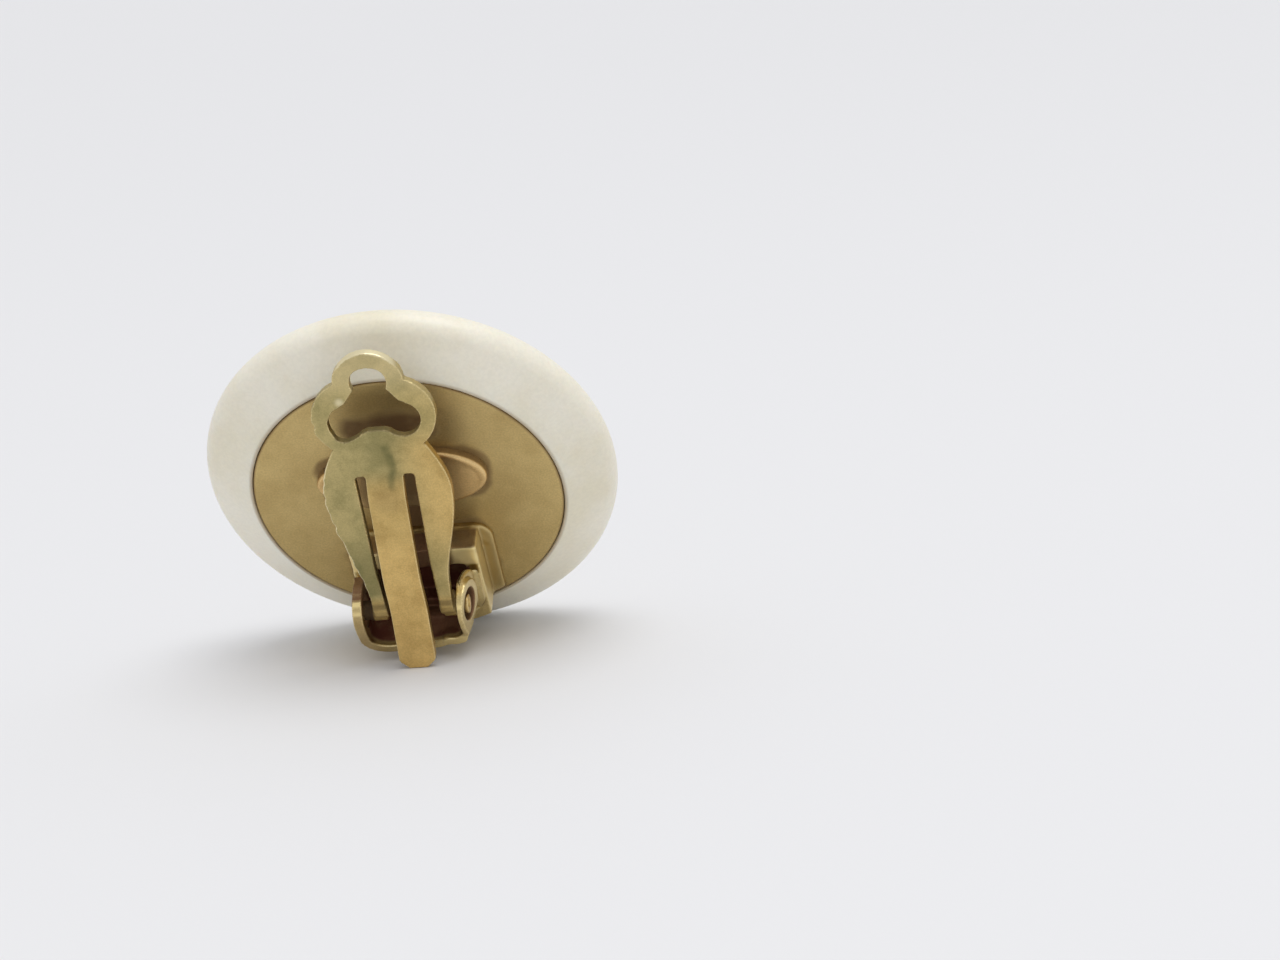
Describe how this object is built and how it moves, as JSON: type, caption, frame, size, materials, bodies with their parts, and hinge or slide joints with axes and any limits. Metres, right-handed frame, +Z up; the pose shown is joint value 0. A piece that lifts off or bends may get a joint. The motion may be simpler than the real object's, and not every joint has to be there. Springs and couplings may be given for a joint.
{
  "type": "button clip earring",
  "caption": "Round domed button earring with a recessed brass back plate and a hinged spring clip that closes on the ear lobe; rests leaning on its rim and clip.",
  "frame": {"origin": "on the surface it rests on, under the middle of the earring's bounding box", "axes": "+X to the right as seen from the clip side, along the button's full width; -Y is the side the clip faces; +Z up from the surface"},
  "size_m": [0.03, 0.0202, 0.0263],
  "materials": {
    "button_resin": "polished cream resin, slightly yellowed",
    "plate_brass": "satin, dulled brass with brown tarnish",
    "clip_brass": "worn pale brass with a grey-green tarnish"
  },
  "bodies": {
    "root": {"button": "button_resin", "back_plate": "plate_brass"},
    "clip": {"clip_paddle": "clip_brass"}
  },
  "joints": [
    {"name": "clip_hinge", "type": "hinge", "parent": "root", "child": "clip", "pos_m": [0, -0.00252, 0.0041], "axis": [1, 0, 0], "range_deg": [0, 60], "stiffness_Nm_per_rad": 0.001, "springref_deg": -20.05}
  ]
}
